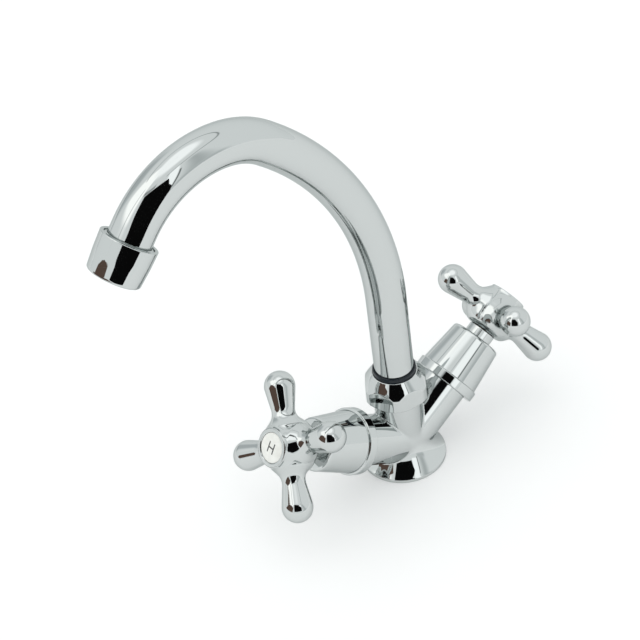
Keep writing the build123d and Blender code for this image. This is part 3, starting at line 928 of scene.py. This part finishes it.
def makeShroud(side, sizes, axis):
    top = sizes["top"]
    ceiling = top - sizes["topWall"]
    shroud = [
        (sizes["mouth"], sizes["start"], sizes["mouthRound"]),
        (sizes["ringRadius"], sizes["start"], sizes["ringRound"]),
        (sizes["ringRadius"], sizes["ringEnd"], sizes["ringRound"]),
        (sizes["coneRadius"], sizes["ringEnd"] + sizes["coneStep"], sizes["coneRound"]),
        (sizes["topRadius"], top, sizes["topRound"]),
        (sizes["hole"], top),
        (sizes["hole"], ceiling),
        (sizes["topRadius"] - sizes["wall"], ceiling),
        (sizes["coneRadius"] - sizes["wall"], sizes["seat"]),
        (sizes["mouth"], sizes["seat"]),
    ]
    mesh = turnedMesh(f"{side}Shroud", shroud, axis, closed=True, around=sizes["around"])
    newPiece(f"{side}Shroud", mesh, turnedChrome, "mixer", f"{side}_shroud")


for side, axis in armAxes.items():
    makeShroud(side, shroudSizes, axis)
    nutMesh = turnedMesh(f"{side}RingNut", ringCorners(ringNutSizes), axis, closed=True)
    newPiece(f"{side}RingNut", nutMesh, turnedChrome, "mixer", f"{side}_ring_nut")
print("shrouds made")


# Cross handles, measured from the plane of the grips
handleSizes = {
    "back": -10.7,
    "front": 11.4,
    "belly": 12.7,
    "backRound": 4.9,
    "bellyEnd": 1.0,
    "bellyRound": 9.0,
    "rim": 9.75,
    "rimStart": 10.0,
    "rimStartRound": 2.0,
    "frontRound": 0.35,
    "gripStartRound": 1.0,
    "gripRoot": (9.2, 10.0, 1.5),
    "neckStart": 15.6,
    "neckRound": 8.0,
    "ball": 7.7,
    "reach": 29.6,
    "taper": 10.0,
    "fillet": 3.4,
    "voxel": 0.45,
    "rimZone": (8.6, 8.8),
    "spindleBore": (4.05, 3.4),
    "screwHole": 2.3,
    "recess": (8.2, 5.4),
    "seat": (9.4, 10.4),
    "around": {"hub": 96, "grip": 64},
    "turns": {"hot": 38.1, "cold": -33.8},
}


def makeHandleMesh(sizes):
    axis = Axis((0, 0, 0), (0, 0, 1), (1, 0, 0))
    hub = [
        (0, sizes["back"]),
        (sizes["belly"], sizes["back"], sizes["backRound"]),
        (sizes["belly"], sizes["bellyEnd"], sizes["bellyRound"]),
        (sizes["rim"], sizes["rimStart"], sizes["rimStartRound"]),
        (sizes["rim"], sizes["front"], sizes["frontRound"]),
        (0, sizes["front"]),
    ]
    taper = math.radians(sizes["taper"])
    ball, reach = sizes["ball"], sizes["reach"]
    touch = np.array((ball * math.cos(taper), reach - ball * math.sin(taper)))
    slope = np.array((math.sin(taper), math.cos(taper)))
    tip = touch + slope * (reach + ball - touch[1]) / slope[1]
    neck = touch - slope * (touch[1] - sizes["neckStart"]) / slope[1]
    grip = [
        (0, 0),
        (sizes["gripRoot"][0], 0, sizes["gripStartRound"]),
        sizes["gripRoot"],
        (*neck, sizes["neckRound"]),
        (*tip, ball),
        (0, reach + ball),
    ]
    gripPieces = roundCorners(grip)
    quarters = np.arange(4) * math.pi / 2
    directions = [np.array((math.cos(angle), math.sin(angle), 0)) for angle in quarters]

    def nearestGrip(points):
        folded = np.abs(points[:, :2])
        along, aside = folded.max(1), folded.min(1)
        return outlineDistance(gripPieces, np.hypot(aside, points[:, 2]), along)

    field = joinFields(turnedField(hub, axis), nearestGrip, sizes["fillet"])
    solids = [turnedMesh("hub", hub, axis, around=sizes["around"]["hub"])]
    for way in directions:
        gripAxis = Axis((0, 0, 0), way, (0, 0, 1))
        solids.append(turnedMesh("grip", grip, gripAxis, around=sizes["around"]["grip"]))
    mesh = voxelMesh("handle", solids, sizes["voxel"])
    zoneRadius, zoneHeight = sizes["rimZone"]

    def nearRim(points):
        return (np.hypot(points[:, 0], points[:, 1]) > zoneRadius) & (points[:, 2] > zoneHeight)

    settleMesh(mesh, field, nearRim)
    radius, depth = sizes["spindleBore"]
    beyond = boreSizes["beyond"]
    bores = [
        boreMesh(axis, radius, sizes["back"] - beyond, depth),
        boreMesh(axis, sizes["screwHole"], depth - beyond, sizes["front"]),
    ]
    bores += [boreMesh(axis, *sizes[name], sizes["front"] + beyond) for name in ("recess", "seat")]
    mesh = cutMesh(mesh, bores)
    fieldNormals(mesh, field)
    return mesh


def axisMatrix(axis, turn):
    turn = math.radians(turn)
    across = axis.across * math.cos(turn) + axis.third * math.sin(turn)
    third = np.cross(axis.along, across)
    placed = Matrix([[across[row], third[row], axis.along[row]] for row in range(3)]).to_4x4()
    return Matrix.Translation(Vector(axis.origin) * mm) @ placed


def placeHandle(side, handle, normals):
    mesh = handle.copy()
    matrix = axisMatrix(handleAxes[side], handleSizes["turns"][side])
    mesh.transform(matrix)
    mesh.normals_split_custom_set(normals @ np.array(matrix.to_3x3()).T)
    body = f"{side}_control"
    newPiece(f"{side}CrossHandle", mesh, castChrome, body, f"{side}_handle")


handleMesh = makeHandleMesh(handleSizes)
handleNormals = np.array([normal.vector for normal in handleMesh.corner_normals])
for side in handleAxes:
    placeHandle(side, handleMesh, handleNormals)
print("handles made")


# Index buttons: a bezel in the handle's front and a white disc in it, which carries a letter
bezelSizes = {
    "seat": 10.45,
    "radius": 9.35,
    "front": 11.55,
    "faceInner": 7.9,
    "faceRound": 0.2,
    "faceDrop": 0.3,
    "inner": 7.55,
    "innerRound": 0.1,
    "rimRound": 0.22,
    "skirtRadius": 8.1,
    "skirtWall": 0.8,
    "skirtEnd": 7.4,
    "floor": 9.6,
}
indexSizes = {
    "radius": 7.45,
    "base": 9.65,
    "rim": 11.2,
    "crown": 11.6,
    "crownPoints": 12,
    "crownRound": 0.5,
    "rimRound": 0.35,
}
letterSizes = {
    "sheet": 20.0,  # millimetres that the square of the texture coordinates covers
    "height": 5.6,
    "width": 4.2,
    "stroke": 0.74,
    "edge": 0.06,
    "mouth": 42.0,
}
porcelainLook = {
    "cloudScale": 300.0,
    "cloudDetail": 2.0,
    "cloudEdges": (0.3, 0.7),
    "shaded": (0.80, 0.80, 0.76),
    "clear": (0.86, 0.86, 0.82),
    "ink": (0.03, 0.03, 0.035),
    "roughness": 0.1,
    "uneven": 0.05,
    "coat": 0.4,
}


def letterH(x, y, sizes):
    half, tall, stroke = sizes["width"] / 2, sizes["height"] / 2, sizes["stroke"] / 2
    inHeight = abs(y) - tall
    bars = (abs(abs(x) - (half - stroke)) - stroke).highest(inHeight)
    middle = (abs(y) - stroke).highest(abs(x) - half)
    return bars.lowest(middle)


def letterC(x, y, sizes):
    wide, tall, stroke = sizes["width"] / 2, sizes["height"] / 2, sizes["stroke"] / 2
    squeezed = x * (tall / wide)
    distance = (squeezed * squeezed + y * y).math("SQRT")
    ring = abs(distance - (tall - stroke)) - stroke
    angle = math.radians(sizes["mouth"])
    return ring.highest(squeezed * math.sin(angle) - abs(y) * math.cos(angle))


def porcelain(name, letter, look):
    material, tree = newMaterial(name)
    sheet = (tree.place("UV"),)
    parts = [tree.add("ShaderNodeSeparateXYZ", None, sheet, output=index) for index in (0, 1)]
    x, y = ((part - 0.5) * letterSizes["sheet"] for part in parts)
    ink = 1 - letter(x, y, letterSizes).fade(-letterSizes["edge"], letterSizes["edge"])
    clouds = tree.noise(look["cloudScale"], look["cloudDetail"])
    glaze = tree.mix(clouds.fade(*look["cloudEdges"]), look["shaded"], look["clear"])
    sockets = {
        "Base Color": tree.mix(ink, glaze, look["ink"]),
        "Roughness": clouds * look["uneven"] + look["roughness"],
        "Coat Weight": look["coat"],
    }
    tree.finish(tree.add("ShaderNodeBsdfPrincipled", None, sockets))
    return material


def makeBezel(side, sizes, axis):
    skirt = sizes["skirtRadius"] - sizes["skirtWall"]
    bezel = [
        (skirt, sizes["skirtEnd"]),
        (sizes["skirtRadius"], sizes["skirtEnd"]),
        (sizes["skirtRadius"], sizes["seat"]),
        (sizes["radius"], sizes["seat"]),
        (sizes["radius"], sizes["front"], sizes["rimRound"]),
        (sizes["faceInner"], sizes["front"], sizes["faceRound"]),
        (sizes["inner"], sizes["front"] - sizes["faceDrop"], sizes["innerRound"]),
        (sizes["inner"], sizes["floor"]),
        (skirt, sizes["floor"]),
    ]
    mesh = turnedMesh(f"{side}Bezel", bezel, axis, closed=True)
    body = f"{side}_control"
    newPiece(f"{side}Bezel", mesh, turnedChrome, body, f"{side}_index_bezel")


def makeIndex(side, sizes, axis, letter):
    radius, top = sizes["radius"], sizes["crown"]
    rise = top - sizes["rim"]
    dome = (radius**2 + rise**2) / (2 * rise)
    crown = [
        (radius * share, top - dome + math.sqrt(dome**2 - (radius * share) ** 2))
        for share in np.linspace(1, 0, sizes["crownPoints"])
    ]
    disc = [
        (0, sizes["base"]),
        (radius, sizes["base"]),
        (*crown[0], sizes["rimRound"]),
        *[(*point, sizes["crownRound"]) for point in crown[1:-1]],
        crown[-1],
    ]
    mesh = turnedMesh(f"{side}Index", disc, axis)
    up = np.array((0, 0, 1.0)) - axis.along * axis.along[2]
    up /= np.linalg.norm(up)
    right = np.cross(up, axis.along)
    points = (coordinates(mesh) / mm - axis.origin) @ np.array((right, up)).T
    points = points / letterSizes["sheet"] + 0.5
    corner = np.empty(len(mesh.loops), dtype=np.int32)
    mesh.loops.foreach_get("vertex_index", corner)
    layer = mesh.uv_layers.new(name="face")
    layer.data.foreach_set("uv", points[corner].ravel())
    glaze = porcelain(f"{side}Porcelain", letter, porcelainLook)
    newPiece(f"{side}Index", mesh, glaze, f"{side}_control", f"{side}_index_disc")


for side, letter in (("hot", letterH), ("cold", letterC)):
    makeBezel(side, bezelSizes, handleAxes[side])
    makeIndex(side, indexSizes, handleAxes[side], letter)
print("index buttons made")


# Finishes of the pieces that keep their CAD shape
cadFinishes = {
    "base_gasket": "sealRubber",
    "spout_slip_rings": "slipPlastic",
    "spout_ferrule": "machinedBrass",
    "ferrule_o_rings": "sealRubber",
    "aerator_washer": "sealRubber",
    "aerator_housing": "greyPlastic",
    "aerator_screens": "stainless",
    "aerator_grid": "greyPlastic",
}
sideFinishes = {
    "seat_seal": "sealRubber",
    "fixed_disc": "valveCeramic",
    "moving_disc": "valveCeramic",
    "valve_bonnet": "machinedBrass",
    "bonnet_seal": "sealRubber",
    "spindle": "machinedBrass",
    "spindle_o_rings": "sealRubber",
    "spindle_clip": "stainless",
    "handle_screw": "stainless",
}
for side in armAxes:
    cadFinishes.update({f"{side}_{node}": finish for node, finish in sideFinishes.items()})
for node, finish in cadFinishes.items():
    for materialSlot in frame["nodes"][node].material_slots:
        materialSlot.material = finishes[finish]


# Studio: white tent for the metal to mirror, with a dark opening on the camera's side
tentSizes = {
    "white": (0.97, 1.0, 1.0),
    "backdrop": (1.0, 1.0, 1.0),
    "floor": 30.0,  # metres from the middle to each edge
    "floorColour": (0.80, 0.80, 0.80),
    "floorGlow": 0.2,
}
# Each patch: azimuth, elevation, width and height in degrees, softness, colour
tentPatches = {
    "rearShade": (98.0, 8.0, 30.0, 50.0, 8.0, (0.60, 0.64, 0.65)),
    "rightShade": (-72.0, 28.0, 14.0, 44.0, 7.0, (0.60, 0.64, 0.64)),
    "horizon": (-72.0, 5.0, 24.0, 8.0, 4.0, (0.64, 0.68, 0.68)),
    "flapEdge": (-86.5, 24.0, 2.4, 34.0, 0.8, (0.20, 0.22, 0.22)),
    "litFlap": (-95.5, 32.0, 15.0, 46.0, 1.5, (1.45, 1.48, 1.48)),
    "upperFold": (-150.0, 55.5, 40.0, 4.0, 1.8, (0.34, 0.36, 0.36)),
    "leftLamp": (158.0, 55.0, 62.0, 50.0, 6.0, (1.6, 1.6, 1.57)),
    "leftSeam": (172.0, 42.0, 3.0, 34.0, 1.6, (0.52, 0.55, 0.55)),
    "roofSeam": (13.0, 55.5, 244.0, 1.6, 1.0, (0.34, 0.37, 0.37)),
    "roofLamp": (0.0, 81.0, 360.0, 22.0, 5.0, (1.45, 1.47, 1.47)),
}
# Cards that only the metal sees: where each stands, which way it faces, and its outline as
# points of distance to the side and height
tentCards = {
    "openingCard": {
        "place": (-223.0, -275.0),
        "azimuth": -129.0,
        "outline": (
            (-150, 95), (155, 95), (172, 190), (190, 260), (165, 330), (120, 400), (80, 530),
            (-235, 640), (-210, 400), (-180, 250),
        ),
        "colour": (0.004, 0.004, 0.004),
    },
    "brownCard": {
        "place": (-332.0, 0.0),
        "azimuth": -178.0,
        "outline": (
            (-165, 60), (100, 60), (105, 235), (30, 250), (60, 262), (42, 274), (-29, 284),
            (-105, 271), (-118, 258), (-90, 250), (-150, 240),
        ),
        "colour": (0.128, 0.085, 0.068),
    },
}


def makeWorld():
    world = bpy.data.worlds.new("tent")
    scene.world = world
    tree = ShaderTree(world)
    sky = (tree.place("Generated"),)
    parts = [tree.add("ShaderNodeSeparateXYZ", None, sky, output=index) for index in range(3)]
    perRadian = math.degrees(1)
    elevation = parts[2].math("ARCSINE") * perRadian
    colour = tree.mix(0.0, tentSizes["white"], tentSizes["white"])
    for azimuth, height, width, tall, soft, paint in tentPatches.values():
        turn = math.radians(azimuth)
        ahead = parts[0] * math.cos(turn) + parts[1] * math.sin(turn)
        aside = parts[1] * math.cos(turn) - parts[0] * math.sin(turn)
        off = abs(aside.math("ARCTAN2", ahead) * perRadian) - width / 2
        high = abs(elevation - height) - tall / 2
        mask = (1 - off.fade(-soft, soft)) * (1 - high.fade(-soft, soft))
        colour = tree.mix(mask, colour, paint)
    seen = tree.add("ShaderNodeLightPath", output="Is Camera Ray")
    shown = tree.mix(seen, colour, tentSizes["backdrop"])
    tree.finish(tree.add("ShaderNodeBackground", None, {"Color": shown}), "ShaderNodeOutputWorld")


def makeFloor():
    reach = tentSizes["floor"]
    corners = [(-reach, -reach, 0), (reach, -reach, 0), (reach, reach, 0), (-reach, reach, 0)]
    mesh = meshFrom("floor", corners, [(0, 1, 2, 3)])
    floor = bpy.data.objects.new("floor", mesh)
    scene.collection.objects.link(floor)
    material, tree = newMaterial("paperFloor")
    paper = tree.add("ShaderNodeBsdfDiffuse", None, {"Color": tentSizes["floorColour"]})
    outputs = [f"Is {kind} Ray" for kind in ("Camera", "Glossy", "Transmission")]
    camera, glossy, through = (tree.add("ShaderNodeLightPath", output=output) for output in outputs)
    strength = camera.highest(glossy).highest(through) * tentSizes["floorGlow"]
    sockets = {"Color": tentSizes["backdrop"], "Strength": strength}
    glow = tree.add("ShaderNodeEmission", None, sockets)
    tree.finish(tree.add("ShaderNodeAddShader", None, (paper, glow)))
    mesh.materials.append(material)


def makeCard(name, sizes):
    ahead = math.radians(sizes["azimuth"])
    aside = np.array((-math.sin(ahead), math.cos(ahead), 0))
    place = np.array((*sizes["place"], 0))
    corners = [place + off * aside + np.array((0, 0, height)) for off, height in sizes["outline"]]
    mesh = meshFrom(name, np.array(corners) * mm, [tuple(range(len(corners)))])
    card = bpy.data.objects.new(name, mesh)
    scene.collection.objects.link(card)
    material, tree = newMaterial(name)
    tree.finish(tree.add("ShaderNodeEmission", None, {"Color": sizes["colour"], "Strength": 1.0}))
    mesh.materials.append(material)
    card.visible_camera = False
    card.visible_diffuse = False
    card.visible_shadow = False
    card.visible_transmission = False


makeWorld()
makeFloor()
for name, sizes in tentCards.items():
    makeCard(name, sizes)
scene.view_settings.view_transform = "Standard"
print("studio made")
